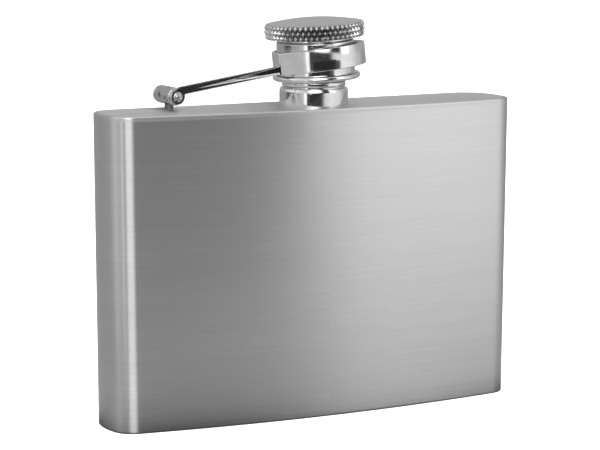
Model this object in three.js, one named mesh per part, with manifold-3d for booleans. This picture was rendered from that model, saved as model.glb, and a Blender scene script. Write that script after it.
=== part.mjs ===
// Hip flask: a wrapped sheet-steel body with a domed top plate and a flat bottom plate,
// a collared neck, a screw cap, and a strap that keeps the cap on the flask
// and swings in a small barrel hinge on the top plate.
// Millimetres, +Z up. Origin: middle of the bottom face. Front (convex) face towards -Y.
import * as THREE from 'three';
import * as BufferGeometryUtils from 'three/addons/utils/BufferGeometryUtils.js';
import Module from 'manifold-3d';

const wasm = await Module();
wasm.setup();

const { degToRad } = THREE.MathUtils;

// ---------- dimensions ----------
const FIT_GAP = 0.03;         // radial gap between parts that fit round each other

// body
const HALF_W = 46.0;          // half width at the top
const TAPER = 0.6;            // the bottom is this much narrower on each side
const RIM_Z = 62.8;           // top of the rounded rim
const EDGE_R = 1.0;           // rounding of the top and bottom edges
const CROWN = 0.45;           // rise of the top plate at its middle
const CROWN_SHARES = [0.25, 0.55, 0.9]; // how far each crown ring is drawn in
const RIDGE_HALF = HALF_W - 9.5;        // half length of the line the crown closes on
const WALL = 0.6;             // sheet thickness
const SEAM_LO = EDGE_R;       // wall meets bottom plate
const SEAM_HI = RIM_Z - EDGE_R; // wall meets top plate
const OVERRUN = 1;            // how far the hollow runs past a seam

// plan outline of the body
const FRONT_Y = -9.2;         // middle of the front face
const BACK_Y = 9.2;           // middle of the back face
const FRONT_R = 290.0;        // radius of the convex front
const BACK_R = 1900.0;        // radius of the faintly concave back
const END_R = 17.0;           // radius of each end
const END_Y = 1.0;            // where each end is widest
const CORNER_FRONT_R = 4.6;   // fillet, front to end
const CORNER_BACK_R = 6.0;    // fillet, end to back

// neck
const NECK_X = 0.9;
const NECK_FOOT = 61.9;       // lower end of neck and collar, under the top plate
const NECK_TOP = 71.6;
const NECK_R = 6.5;
const NECK_BORE_R = 4.6;
const NECK_PLAIN_TOP = 67.75; // top of the plain part
const COLLAR_R = 7.0;
const COLLAR_TOP = 66.4;
const THREAD_R = 5.6;
const THREAD_ROOT_R = 5.2;
const THREAD_PITCH = 1.5;
const THREAD_START = NECK_PLAIN_TOP + 0.45;
const THREAD_LIMIT = NECK_TOP - 0.35;   // the middle of each pitch stays below this

// cap, in its own frame: sits a little askew on its loose thread
const CAP_X = 1.3;
const CAP_Z = 73.0;
const CAP_LEAN = 3.0;         // degrees, towards -X
const HEAD_R = 10.3;
const HEAD_LO = 3.5;
const HEAD_HI = 6.6;
const HEAD_DOME = 0.95;       // rise of the domed top
const DOME_R = HEAD_R - 0.6;
const DOME_STEPS = 4;
const SLEEVE_R = 7.9;
const SLEEVE_LO = -4.75;
const SLEEVE_HI = HEAD_LO - 0.02;
const SLEEVE_BORE_R = 6.6;
const SLEEVE_ROOF = -0.25;    // closed end of the bore
const SLEEVE_CHAMFER = 0.3;
const BEAD_R = 8.95;
const BEAD_LO = -4.95;
const BEAD_HI = -3.7;
const GASKET_R = 6.3;
const GASKET_BORE_R = 3.6;
const GASKET_LO = -1.0;
const GASKET_HI = -0.28;

// strap, in a frame at the hinge pin
const STRAP_UP = 6.5;         // degrees the strap is turned up
const STRIP_T = 0.6;          // thickness of the strip
const ARM_Y = -2.4;           // mid-thickness of the arm
const ARM_H = 1.75;
const ARM_Z = 1.06;           // middle height of the arm above the pin, at x = 0
const ARM_SLOPE = 0.033;      // rise of that height per mm of x
const EAR_R = 1.6;
const EAR_FRONT = ARM_Y - STRIP_T / 2;
const LOOP_X = 33.4;          // centre of the loop
const LOOP_Z = 2.75;
const LOOP_BAND = 4.45;       // height of the loop's band
const LOOP_R = 9.2;           // mid-thickness radius
const LOOP_SLOPE = Math.tan(degToRad(3.2)); // sideways tilt, front edge up
const LOOP_STEPS = 44;
const FOLD_X = 23.3;          // where the loop's ends meet the arm
const GUSSET_TOP = 3.55;

// hinge: the pin lies along Y
const PIN_X = -30.8;
const PIN_Z = 65.9;
const BARREL_R = 1.8;
const BARREL_BORE_R = 1.3;
const BARREL_Y0 = -1.95;
const BARREL_Y1 = 5.05;
const BARREL_CHAMFER = 0.12;
const POST_R = 0.9;
const POST_Y = 1.55;
const POST_FOOT_R = POST_R + 0.7;
const POST_FOOT_H = 0.4;
const SHANK_R = 1.2;          // thick middle of the rivet, inside the barrel
const TENON_R = 0.75;         // thin ends of the rivet
const WASHER_R = 1.7;
const WASHER_Y0 = BARREL_Y1 + 0.15;
const WASHER_Y1 = WASHER_Y0 + 0.4;
const WASHER_CHAMFER = 0.1;

// ---------- helpers ----------
function toManifold(geometry) {
  const bare = geometry.clone();
  bare.deleteAttribute('normal');
  bare.deleteAttribute('uv');
  const welded = BufferGeometryUtils.mergeVertices(bare, 1e-5);
  return new wasm.Manifold(new wasm.Mesh({
    numProp: 3,
    vertProperties: new Float32Array(welded.attributes.position.array),
    triVerts: new Uint32Array(welded.index.array),
  }));
}

function fromManifold(solid) {
  const mesh = solid.getMesh();
  const positions = new Float32Array(mesh.vertProperties);
  const geometry = new THREE.BufferGeometry();
  geometry.setAttribute('position', new THREE.BufferAttribute(positions, 3));
  geometry.setIndex(new THREE.BufferAttribute(new Uint32Array(mesh.triVerts), 1));
  geometry.computeVertexNormals();
  return geometry;
}

// A closed solid through a stack of rings, lowest first,
// each a counter-clockwise list of [x, y, z].
function loft(rings) {
  const count = rings[0].length;
  const indices = [];
  for (let k = 0; k + 1 < rings.length; k++) {
    for (let i = 0; i < count; i++) {
      const next = (i + 1) % count;
      const low = k * count;
      const high = low + count;
      indices.push(low + i, low + next, high + next);
      indices.push(low + i, high + next, high + i);
    }
  }
  const triangulate = (ring) => THREE.ShapeUtils.triangulateShape(
    ring.map(([x, y]) => new THREE.Vector2(x, y)), []);
  for (const [a, b, c] of triangulate(rings[0])) indices.push(a, c, b);
  const top = (rings.length - 1) * count;
  for (const [a, b, c] of triangulate(rings.at(-1))) indices.push(top + a, top + b, top + c);

  const geometry = new THREE.BufferGeometry();
  geometry.setAttribute('position', new THREE.Float32BufferAttribute(rings.flat(2), 3));
  geometry.setIndex(indices);
  return toManifold(geometry);
}

// Turns a profile of [radius, z] points about Z.
function lathe(profile, segments) {
  const points = profile.map(([radius, z]) => new THREE.Vector2(radius, z));
  return new THREE.LatheGeometry(points, segments).rotateX(Math.PI / 2);
}

// Turns a profile that stays clear of the axis, closing it on its first point.
const latheRing = (profile, segments) => lathe([...profile, profile[0]], segments);

function cylinder(radius, z0, z1, segments) {
  return new THREE.CylinderGeometry(radius, radius, z1 - z0, segments)
    .rotateX(Math.PI / 2)
    .translate(0, 0, (z0 + z1) / 2);
}

// Lays a shape along Y: its +Z end goes to +Y.
const alongY = (geometry) => geometry.rotateX(-Math.PI / 2);

function arc([x, y], radius, from, to, steps) {
  const points = [];
  for (let i = 0; i <= steps; i++) {
    const angle = from + (to - from) * i / steps;
    points.push([x + radius * Math.cos(angle), y + radius * Math.sin(angle)]);
  }
  return points;
}

const angleFrom = (origin, point) => Math.atan2(point[1] - origin[1], point[0] - origin[0]);

// Of the two points where two circles cross, the one with the greater x.
function outerCrossing(centerA, radiusA, centerB, radiusB) {
  const dx = centerB[0] - centerA[0];
  const dy = centerB[1] - centerA[1];
  const dist = Math.hypot(dx, dy);
  const along = (radiusA ** 2 - radiusB ** 2 + dist ** 2) / (2 * dist);
  const across = Math.sqrt(radiusA ** 2 - along ** 2);
  const [p, q] = [across, -across].map((side) => [
    centerA[0] + (dx * along - dy * side) / dist,
    centerA[1] + (dy * along + dx * side) / dist,
  ]);
  return p[0] > q[0] ? p : q;
}

// ---------- body outline and rings ----------
// The +X half, from the middle of the front to the middle of the back, drawn in by "inset".
function halfOutline(halfWidth, inset) {
  const front = [0, FRONT_Y + FRONT_R];
  const end = [halfWidth - END_R, END_Y];
  const back = [0, BACK_Y + BACK_R];
  const frontCorner = outerCrossing(
    end, END_R - CORNER_FRONT_R, front, FRONT_R - CORNER_FRONT_R);
  const backCorner = outerCrossing(end, END_R - CORNER_BACK_R, back, BACK_R + CORNER_BACK_R);

  const middle = -Math.PI / 2;
  const frontToCorner = angleFrom(front, frontCorner);
  const endFrom = angleFrom(end, frontCorner);
  const endTo = angleFrom(end, backCorner);
  const backFrom = angleFrom(back, backCorner);
  return [
    ...arc(front, FRONT_R - inset, middle, frontToCorner, 9),
    ...arc(frontCorner, CORNER_FRONT_R - inset, frontToCorner, endFrom, 6).slice(1),
    ...arc(end, END_R - inset, endFrom, endTo, 5).slice(1),
    ...arc(backCorner, CORNER_BACK_R - inset, endTo, backFrom + Math.PI, 7).slice(1),
    ...arc(back, BACK_R + inset, backFrom, middle, 5).slice(1),
  ];
}

function outline(halfWidth, inset) {
  const right = halfOutline(halfWidth, inset);
  const left = right.slice(1, -1).reverse().map(([x, y]) => [-x, y]);
  return [...right, ...left];
}

const flatRing = (halfWidth, inset, z) => outline(halfWidth, inset).map(([x, y]) => [x, y, z]);
const halfWidthAt = (z) => HALF_W - TAPER * (1 - z / RIM_Z);
const wallRing = (z, inset) => flatRing(halfWidthAt(z), inset, z);

// A ring drawn in towards the ridge line by a share, raised by the crown.
function crownRing(share, baseZ) {
  const keep = 1 - share;
  return outline(HALF_W, EDGE_R).map(([x, y]) => {
    const ridgeX = Math.max(-RIDGE_HALF, Math.min(RIDGE_HALF, x));
    return [ridgeX + (x - ridgeX) * keep, y * keep, baseZ + CROWN * (1 - keep * keep)];
  });
}

const TOP_EDGE = {
  seamZ: SEAM_HI, sign: 1, seamHalf: halfWidthAt(SEAM_HI), faceHalf: HALF_W,
};
const BOTTOM_EDGE = {
  seamZ: SEAM_LO, sign: -1, seamHalf: halfWidthAt(SEAM_LO), faceHalf: halfWidthAt(SEAM_LO),
};

// Rings of a quarter-round edge, from the seam to the plate's face.
function edgeRings({ seamZ, sign, seamHalf, faceHalf }, inset, steps) {
  const radius = EDGE_R - inset;
  const rings = [];
  for (let k = 0; k <= steps; k++) {
    const share = k / steps;
    const angle = share * Math.PI / 2;
    rings.push(flatRing(
      seamHalf + (faceHalf - seamHalf) * share,
      inset + radius * (1 - Math.cos(angle)),
      seamZ + sign * radius * Math.sin(angle),
    ));
  }
  return rings;
}

// ---------- body pieces ----------
function bodyWall() {
  const outer = loft([wallRing(SEAM_LO, 0), wallRing(SEAM_HI, 0)]);
  const hollow = loft([wallRing(SEAM_LO - OVERRUN, WALL), wallRing(SEAM_HI + OVERRUN, WALL)]);
  return outer.subtract(hollow);
}

// A cutter through the top plate.
const plateHole = (radius, x, y, segments) => toManifold(
  cylinder(radius + FIT_GAP, 55, 70, segments).translate(x, y, 0));

function topPlate() {
  const crown = (baseZ) => CROWN_SHARES.map((share) => crownRing(share, baseZ));
  const outer = loft([...edgeRings(TOP_EDGE, 0, 4), ...crown(RIM_Z)]);
  const hollow = loft([
    wallRing(SEAM_HI - OVERRUN, WALL),
    ...edgeRings(TOP_EDGE, WALL, 2),
    ...crown(RIM_Z - WALL),
  ]);
  return outer.subtract(hollow)
    .subtract(plateHole(COLLAR_R, NECK_X, 0, 48))
    .subtract(plateHole(POST_R, PIN_X, POST_Y, 24));
}

function bottomPlate() {
  const outer = loft(edgeRings(BOTTOM_EDGE, 0, 4).reverse());
  const hollow = loft([
    ...edgeRings(BOTTOM_EDGE, WALL, 2).reverse(),
    wallRing(SEAM_LO + OVERRUN, WALL),
  ]);
  return outer.subtract(hollow);
}

// ---------- neck ----------
function neckCollar() {
  const bore = NECK_R + FIT_GAP;
  return toManifold(latheRing([
    [bore, NECK_FOOT],
    [COLLAR_R, NECK_FOOT],
    [COLLAR_R, COLLAR_TOP - 0.4],
    [COLLAR_R - 0.12, COLLAR_TOP - 0.12],
    [COLLAR_R - 0.3, COLLAR_TOP],
    [bore, COLLAR_TOP],
  ], 48));
}

// Plain tube below, ringed thread above, bevelled lip.
function neckTube() {
  const thread = [];
  for (let z = THREAD_START; z + THREAD_PITCH / 2 < THREAD_LIMIT; z += THREAD_PITCH) {
    thread.push(
      [THREAD_ROOT_R, z],
      [THREAD_R, z + 0.35],
      [THREAD_R, z + 0.6],
      [THREAD_ROOT_R, z + 0.95],
    );
  }
  return toManifold(latheRing([
    [NECK_BORE_R, NECK_FOOT],
    [NECK_R, NECK_FOOT],
    [NECK_R, NECK_PLAIN_TOP - 0.25],
    [NECK_R - 0.25, NECK_PLAIN_TOP],
    [THREAD_ROOT_R, NECK_PLAIN_TOP + 0.1],
    ...thread,
    [THREAD_ROOT_R, NECK_TOP - 0.2],
    [THREAD_ROOT_R - 0.2, NECK_TOP],
    [NECK_BORE_R + 0.15, NECK_TOP],
    [NECK_BORE_R, NECK_TOP - 0.15],
  ], 36));
}

// ---------- cap ----------
function capHead() {
  const profile = [
    [0, HEAD_LO],
    [HEAD_R - 0.7, HEAD_LO],
    [HEAD_R - 0.2, HEAD_LO + 0.2],
    [HEAD_R, HEAD_LO + 0.6],
    [HEAD_R, HEAD_HI - 0.6],
    [HEAD_R - 0.2, HEAD_HI - 0.2],
  ];
  for (let i = 0; i <= DOME_STEPS; i++) {
    const share = 1 - i / DOME_STEPS;
    profile.push([DOME_R * share, HEAD_HI + HEAD_DOME * (1 - share ** 2)]);
  }
  return toManifold(lathe(profile, 48));
}

function capSleeve() {
  return toManifold(lathe([
    [0, SLEEVE_ROOF],
    [SLEEVE_BORE_R, SLEEVE_ROOF],
    [SLEEVE_BORE_R, SLEEVE_LO + SLEEVE_CHAMFER],
    [SLEEVE_BORE_R + SLEEVE_CHAMFER, SLEEVE_LO],
    [SLEEVE_R, SLEEVE_LO],
    [SLEEVE_R, SLEEVE_HI],
    [0, SLEEVE_HI],
  ], 40));
}

// Half-round bead round the foot of the sleeve.
function capBead() {
  const bore = SLEEVE_R + FIT_GAP;
  const radius = (BEAD_HI - BEAD_LO) / 2;
  const center = [BEAD_R - radius, (BEAD_LO + BEAD_HI) / 2];
  return toManifold(latheRing([
    [bore, BEAD_LO],
    ...arc(center, radius, -Math.PI / 2, Math.PI / 2, 5),
    [bore, BEAD_HI],
  ], 40));
}

function capGasket() {
  return toManifold(latheRing([
    [GASKET_BORE_R, GASKET_LO],
    [GASKET_R, GASKET_LO],
    [GASKET_R, GASKET_HI],
    [GASKET_BORE_R, GASKET_HI],
  ], 36));
}

// ---------- strap ----------
// Plan of the loop: a circle whose two tangents run together at the fold.
function teardrop(radius) {
  const center = [LOOP_X, 0];
  const toFold = angleFrom(center, [FOLD_X, ARM_Y]);
  const half = Math.acos(LOOP_R / Math.hypot(LOOP_X - FOLD_X, ARM_Y));
  const tip = radius / Math.cos(half);
  return [
    ...arc(center, radius, toFold + half, toFold - half + 2 * Math.PI, LOOP_STEPS),
    [LOOP_X + tip * Math.cos(toFold), tip * Math.sin(toFold)],
  ];
}

function tiltedDrop(radius, halfHeight) {
  const plan = teardrop(radius);
  return loft([-halfHeight, halfHeight].map(
    (rise) => plan.map(([x, y]) => [x, y, LOOP_Z + rise - LOOP_SLOPE * y])));
}

// Side view of ear, arm and gusset in (x, z), extruded through the strip's thickness.
function strapArm() {
  const armTop = (x) => ARM_Z + ARM_SLOPE * x + ARM_H / 2;
  const armBottom = (x) => armTop(x) - ARM_H;
  const loopBottom = LOOP_Z - LOOP_BAND / 2 - LOOP_SLOPE * ARM_Y + 0.02;
  const earEnd = Math.asin((armBottom(0) + 0.02) / EAR_R);
  const ear = arc([0, 0], EAR_R, Math.PI * 0.62, earEnd + 2 * Math.PI, 20);
  const gussetFoot = FOLD_X - 1.6;
  const gussetShoulder = FOLD_X - 0.8;
  const armEnd = FOLD_X + 0.6;
  const armStart = 0.3;
  const sideView = [
    [EAR_R * Math.cos(earEnd), EAR_R * Math.sin(earEnd)],
    [gussetFoot, armBottom(gussetFoot)],
    [armEnd, loopBottom],
    [armEnd, GUSSET_TOP],
    [gussetShoulder, armTop(gussetShoulder)],
    [armStart, armTop(armStart)],
    ...ear.slice(0, -1),
  ];
  const shape = new THREE.Shape(sideView.map(([x, z]) => new THREE.Vector2(x, z)));
  shape.closePath();
  shape.holes.push(new THREE.Path().absarc(0, 0, TENON_R + 0.05, 0, Math.PI * 2, true));
  const arm = new THREE.ExtrudeGeometry(shape, {
    depth: STRIP_T,
    bevelEnabled: false,
    curveSegments: 14,
  });
  arm.rotateX(Math.PI / 2); // (x, y) -> (x, z), thickness towards -Y
  arm.translate(0, ARM_Y + STRIP_T / 2, 0);
  return toManifold(arm);
}

function strap() {
  return tiltedDrop(LOOP_R + STRIP_T / 2, LOOP_BAND / 2)
    .subtract(tiltedDrop(LOOP_R - STRIP_T / 2, LOOP_BAND))
    .add(strapArm());
}

// ---------- hinge ----------
function hingeBarrel() {
  return toManifold(alongY(latheRing([
    [BARREL_BORE_R, BARREL_Y0],
    [BARREL_R - BARREL_CHAMFER, BARREL_Y0],
    [BARREL_R, BARREL_Y0 + BARREL_CHAMFER],
    [BARREL_R, BARREL_Y1 - BARREL_CHAMFER],
    [BARREL_R - BARREL_CHAMFER, BARREL_Y1],
    [BARREL_BORE_R, BARREL_Y1],
  ], 24)));
}

// Post with a wider foot under the plate, its top cut to the barrel's round.
function hingePost() {
  const upright = (radius, z0, z1) => toManifold(
    cylinder(radius, z0, z1, 24).translate(PIN_X, POST_Y, 0));
  const post = upright(POST_R, NECK_FOOT, PIN_Z - BARREL_BORE_R - 0.1);
  const foot = upright(POST_FOOT_R, NECK_FOOT - POST_FOOT_H, NECK_FOOT);
  const saddle = toManifold(
    alongY(cylinder(BARREL_R + 0.01, -8, 8, 24)).translate(PIN_X, 0, PIN_Z));
  return post.add(foot).subtract(saddle);
}

// Shouldered pin: domed head and thin tenon at the ear, thin tail for the washer.
function hingeRivet() {
  const headY = EAR_FRONT - 0.05;
  return toManifold(alongY(lathe([
    [0, headY - 0.38],
    [0.4, headY - 0.36],
    [0.75, headY - 0.26],
    [0.95, headY - 0.1],
    [0.98, headY],
    [TENON_R, headY],
    [TENON_R, BARREL_Y0 - 0.08],
    [SHANK_R, BARREL_Y0 - 0.06],
    [SHANK_R, BARREL_Y1 + 0.08],
    [TENON_R, BARREL_Y1 + 0.1],
    [TENON_R, BARREL_Y1 + 0.6],
    [1.0, BARREL_Y1 + 0.62],
    [0.8, BARREL_Y1 + 0.85],
    [0, BARREL_Y1 + 0.95],
  ], 20)));
}

function hingeWasher() {
  const bore = TENON_R + 0.08;
  return toManifold(alongY(latheRing([
    [bore, WASHER_Y0],
    [WASHER_R - WASHER_CHAMFER, WASHER_Y0],
    [WASHER_R, WASHER_Y0 + WASHER_CHAMFER],
    [WASHER_R, WASHER_Y1 - WASHER_CHAMFER],
    [WASHER_R - WASHER_CHAMFER, WASHER_Y1],
    [bore, WASHER_Y1],
  ], 20)));
}

// ---------- materials ----------
const material = (settings) => new THREE.MeshStandardMaterial(settings);
const brushed = () => material({ color: 0xb4b4b2, roughness: 0.38, metalness: 1 });
const polished = () => material({ color: 0xc9c9c8, roughness: 0.12, metalness: 1 });
const satin = () => material({ color: 0xa9a9a8, roughness: 0.45, metalness: 1 });
const rubber = () => material({ color: 0xd9d8d2, roughness: 0.7, metalness: 0 });

// ---------- assembly ----------
function addPiece(parent, name, solid, surface, position = [0, 0, 0]) {
  const mesh = new THREE.Mesh(fromManifold(solid), surface);
  mesh.name = name;
  mesh.position.set(...position);
  parent.add(mesh);
}

// A group turned about Y by "degrees", positive from +X up towards +Z.
function addTurnedGroup(parent, position, degrees) {
  const group = new THREE.Group();
  group.position.set(...position);
  group.rotation.y = -degToRad(degrees);
  parent.add(group);
  return group;
}

const NECK_AT = [NECK_X, 0, 0];
const PIN_AT = [PIN_X, 0, PIN_Z];

const flask = new THREE.Group();
addPiece(flask, 'body_wall', bodyWall(), brushed());
addPiece(flask, 'top_plate', topPlate(), brushed());
addPiece(flask, 'bottom_plate', bottomPlate(), brushed());
addPiece(flask, 'neck_collar', neckCollar(), polished(), NECK_AT);
addPiece(flask, 'neck_tube', neckTube(), polished(), NECK_AT);

const capGroup = addTurnedGroup(flask, [CAP_X, 0, CAP_Z], CAP_LEAN);
addPiece(capGroup, 'cap_head', capHead(), satin());
addPiece(capGroup, 'cap_sleeve', capSleeve(), polished());
addPiece(capGroup, 'cap_bead', capBead(), polished());
addPiece(capGroup, 'cap_gasket', capGasket(), rubber());

const strapGroup = addTurnedGroup(flask, PIN_AT, STRAP_UP);
addPiece(strapGroup, 'strap', strap(), polished());

addPiece(flask, 'hinge_barrel', hingeBarrel(), polished(), PIN_AT);
addPiece(flask, 'hinge_post', hingePost(), polished());
addPiece(flask, 'hinge_rivet', hingeRivet(), polished(), PIN_AT);
addPiece(flask, 'hinge_washer', hingeWasher(), polished(), PIN_AT);

export default flask;
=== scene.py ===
"""A curved steel hip flask whose screw cap is held by a hinged strap.

The flask stands on z = 0 with its width along x and its thickness along y. The front
faces -y. The neck stands near the middle of the top, the hinge to its left (-x).
Sizes are in millimetres; mesh builders turn them into metres with MM.
In names, _R is a radius, _LO and _HI are heights, _Y0 and _Y1 the front and back ends.
"""
import math

import bmesh
import bpy
import numpy as np
from mathutils import Matrix, Vector


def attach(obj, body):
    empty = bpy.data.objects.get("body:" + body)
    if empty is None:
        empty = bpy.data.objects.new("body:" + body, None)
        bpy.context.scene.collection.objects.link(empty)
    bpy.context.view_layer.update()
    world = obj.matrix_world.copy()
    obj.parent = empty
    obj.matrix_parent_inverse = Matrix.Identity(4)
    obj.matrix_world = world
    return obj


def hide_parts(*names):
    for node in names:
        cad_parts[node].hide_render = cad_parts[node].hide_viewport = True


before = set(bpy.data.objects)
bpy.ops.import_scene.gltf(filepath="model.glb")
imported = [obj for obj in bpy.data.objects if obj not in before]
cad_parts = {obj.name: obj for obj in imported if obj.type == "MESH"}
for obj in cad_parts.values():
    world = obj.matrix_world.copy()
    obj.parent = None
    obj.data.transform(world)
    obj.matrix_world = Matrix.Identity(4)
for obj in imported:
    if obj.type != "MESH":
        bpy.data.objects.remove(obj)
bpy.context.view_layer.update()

MM = 0.001
TAU = 2 * math.pi
QUARTER = math.pi / 2

# ---- body ----
HALF_WIDTH, HALF_DEPTH = 45.98, 9.2        # at the rim; on the centre line
TAPER = 0.6                                # the half width lost from rim to foot
RIM_Z, CROWN, WALL = 62.8, 0.45, 0.6
EDGE_R = 1.0                               # margin between the wall and the flat plates
FOLD_R = 0.38                              # the tight fold inside that margin
SEAM_LO, SEAM_HI = EDGE_R, RIM_Z - EDGE_R
FRONT_R, BACK_R = 290.0, 1900.0            # convex front, slightly hollow back
END_R, END_Y = 17.0, 1.0
FRONT_CORNER_R, BACK_CORNER_R = 4.6, 6.0
SPINE_X = HALF_WIDTH - 9.5                 # half length of the plates' middle line
# ---- neck ----
NECK_X, NECK_FOOT = 0.9, 61.9
COLLAR_R, COLLAR_TOP = 7.0, 66.4
NECK_R, NECK_PLAIN_TOP, NECK_TOP, NECK_BORE_R = 6.5, 67.75, 71.6, 4.6
THREAD_R, THREAD_ROOT_R, THREAD_PITCH = 5.6, 5.2, 1.5
# ---- cap, with heights from the cap's own origin ----
CAP_X, CAP_Z, CAP_LEAN = 1.3, 73.0, 3.0    # degrees, the top towards -x
HEAD_R, HEAD_LO, HEAD_HI, HEAD_DOME = 10.29, 3.5, 6.6, 0.93
KNURL_TEETH, KNURL_PITCH, KNURL_DEPTH = 56, 1.95, 0.66
SLEEVE_R, SLEEVE_LO, SLEEVE_BORE_R, SLEEVE_ROOF = 7.9, -4.75, 6.6, -0.25
BORE_THREAD = 0.22
BEAD_R, BEAD_LO, BEAD_HI = 8.95, -4.95, -3.7
GASKET_BORE_R, GASKET_R, GASKET_LO, GASKET_HI = 3.6, 6.3, -1.0, SLEEVE_ROOF - 0.03
# ---- hinge ----
PIN_X, PIN_Z = -30.8, 65.9
BARREL_R, BARREL_BORE_R, BARREL_Y0, BARREL_Y1 = 1.8, 1.3, -1.95, 5.05
POST_R, POST_Y, POST_TOP = 0.9, 1.55, PIN_Z - 1.0
POST_FLANGE_R = POST_R + 0.7
SHANK_R, TENON_R, TAIL_R, WASHER_R, WASHER_T = 1.2, 0.75, 1.0, 1.7, 0.4
# ---- strap, measured from the pin before it is tilted up ----
STRAP_UP = 6.5                             # degrees
STRIP_T, ARM_Y, ARM_H, EAR_R = 0.6, -2.4, 1.75, 1.6
ARM_Z0, ARM_SLOPE = 1.06, 0.033            # the arm's middle line
LOOP_X, LOOP_Z, LOOP_H, LOOP_R = 33.4, 2.75, 4.45, 9.2
FOLD_X, LOOP_TWIST = 23.3, 3.2             # where the band closes; its tilt in degrees
GUSSET_TOP = 3.55
TWIST_SLOPE = math.tan(math.radians(LOOP_TWIST))
EAR_FRONT = ARM_Y - STRIP_T / 2


# =====================================================================
# mesh helpers
# =====================================================================
class Shell:
    """Collects vertices, faces, per-corner UVs and material numbers."""

    def __init__(self):
        self.verts, self.faces, self.uvs, self.mats = [], [], [], []

    def add(self, points):
        """Adds points and returns the index of the first."""
        first = len(self.verts)
        self.verts.extend([tuple(map(float, point)) for point in points])
        return first

    def face(self, corners, uv=None, mat=0):
        self.faces.append(tuple(corners))
        self.uvs.append(uv if uv is not None else [(0.0, 0.0)] * len(corners))
        self.mats.append(mat)

    def loft(self, rings, count, mat=0, uvs=None):
        """Quads between neighbouring rings. Each entry of uvs has count + 1 pairs."""
        for k in range(len(rings) - 1):
            a, b = rings[k], rings[k + 1]
            for i in range(count):
                j = (i + 1) % count
                uv = None
                if uvs is not None:
                    uv = [uvs[k][i], uvs[k][i + 1], uvs[k + 1][i + 1], uvs[k + 1][i]]
                self.face((a + i, a + j, b + j, b + i), uv, mat)

    def shift(self, x=0.0, y=0.0, z=0.0):
        self.verts = [(a + x, b + y, c + z) for a, b, c in self.verts]
        return self


def make_mesh(name, shell, materials):
    mesh = bpy.data.meshes.new(name)
    mesh.from_pydata([tuple(v) for v in np.array(shell.verts, float) * MM], [], shell.faces)
    layer = mesh.uv_layers.new(name="brush")
    flat = [value for face in shell.uvs for pair in face for value in pair]
    layer.data.foreach_set("uv", np.array(flat, np.float32) * MM)
    for material in materials:
        mesh.materials.append(material)
    mesh.polygons.foreach_set("material_index", np.array(shell.mats, np.int32))
    work = bmesh.new()
    work.from_mesh(mesh)
    bmesh.ops.recalc_face_normals(work, faces=work.faces)
    work.to_mesh(mesh)
    work.free()
    return mesh


def link_object(name, data):
    ob = bpy.data.objects.new(name, data)
    bpy.context.scene.collection.objects.link(ob)
    return ob


def loose(name, shell, materials):
    """A working object for the booleans."""
    return link_object(name, make_mesh(name, shell, materials))


def register(name, mesh, rider, node, sharp):
    mesh.shade_smooth()
    mesh.set_sharp_from_angle(angle=math.radians(sharp))
    ob = link_object(name, mesh)
    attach(ob, rider)
    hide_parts(node)


def build(name, shell, materials, rider, node, place=None, sharp=32.0):
    mesh = make_mesh(name, shell, materials)
    if place is not None:
        mesh.transform(place)
    mesh.update()
    register(name, mesh, rider, node, sharp)


def boolean(name, base, tool, operation):
    """base (operation) tool as a new mesh, with the exact solver; both objects are used up."""
    modifier = base.modifiers.new("cut", "BOOLEAN")
    modifier.operation, modifier.solver, modifier.object = operation, "EXACT", tool
    bpy.context.view_layer.update()
    graph = bpy.context.evaluated_depsgraph_get()
    mesh = bpy.data.meshes.new_from_object(
        base.evaluated_get(graph), preserve_all_data_layers=True, depsgraph=graph)
    mesh.name = name
    bpy.data.objects.remove(base)
    bpy.data.objects.remove(tool)
    return mesh


def placement(origin, lean):
    """A turn of lean degrees about +Y, then a move, for meshes already in metres."""
    turn = Matrix.Rotation(math.radians(lean), 4, "Y")
    return Matrix.Translation(Vector(origin) * MM) @ turn


def fillet(points, closed=False, seg=6):
    """Polyline with rounded corners. points: (x, y) or (x, y, radius)."""
    points = [(p[0], p[1], p[2] if len(p) > 2 else 0.0) for p in points]
    count, out = len(points), []
    for i, (x, y, radius) in enumerate(points):
        if radius <= 0 or (not closed and i in (0, count - 1)):
            out.append((x, y))
            continue
        before, after = points[(i - 1) % count], points[(i + 1) % count]
        to_before = np.array([before[0] - x, before[1] - y])
        len_before = np.linalg.norm(to_before)
        to_before /= len_before
        to_after = np.array([after[0] - x, after[1] - y])
        len_after = np.linalg.norm(to_after)
        to_after /= len_after
        half = math.acos(float(np.clip(to_before @ to_after, -1, 1))) / 2
        if half > QUARTER - 1e-3:              # no corner to round
            out.append((x, y))
            continue
        cut = min(radius / math.tan(half), len_before * 0.49, len_after * 0.49)
        fitted = cut * math.tan(half)
        corner, middle = np.array([x, y]), to_before + to_after
        centre = corner + middle / np.linalg.norm(middle) * (fitted / math.sin(half))
        start = corner + to_before * cut - centre
        end = corner + to_after * cut - centre
        from_angle = math.atan2(start[1], start[0])
        to_angle = math.atan2(end[1], end[0])
        sweep = (to_angle - from_angle + math.pi) % TAU - math.pi
        for k in range(seg + 1):
            angle = from_angle + sweep * k / seg
            out.append((centre[0] + fitted * math.cos(angle),
                        centre[1] + fitted * math.sin(angle)))
    return out


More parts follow.
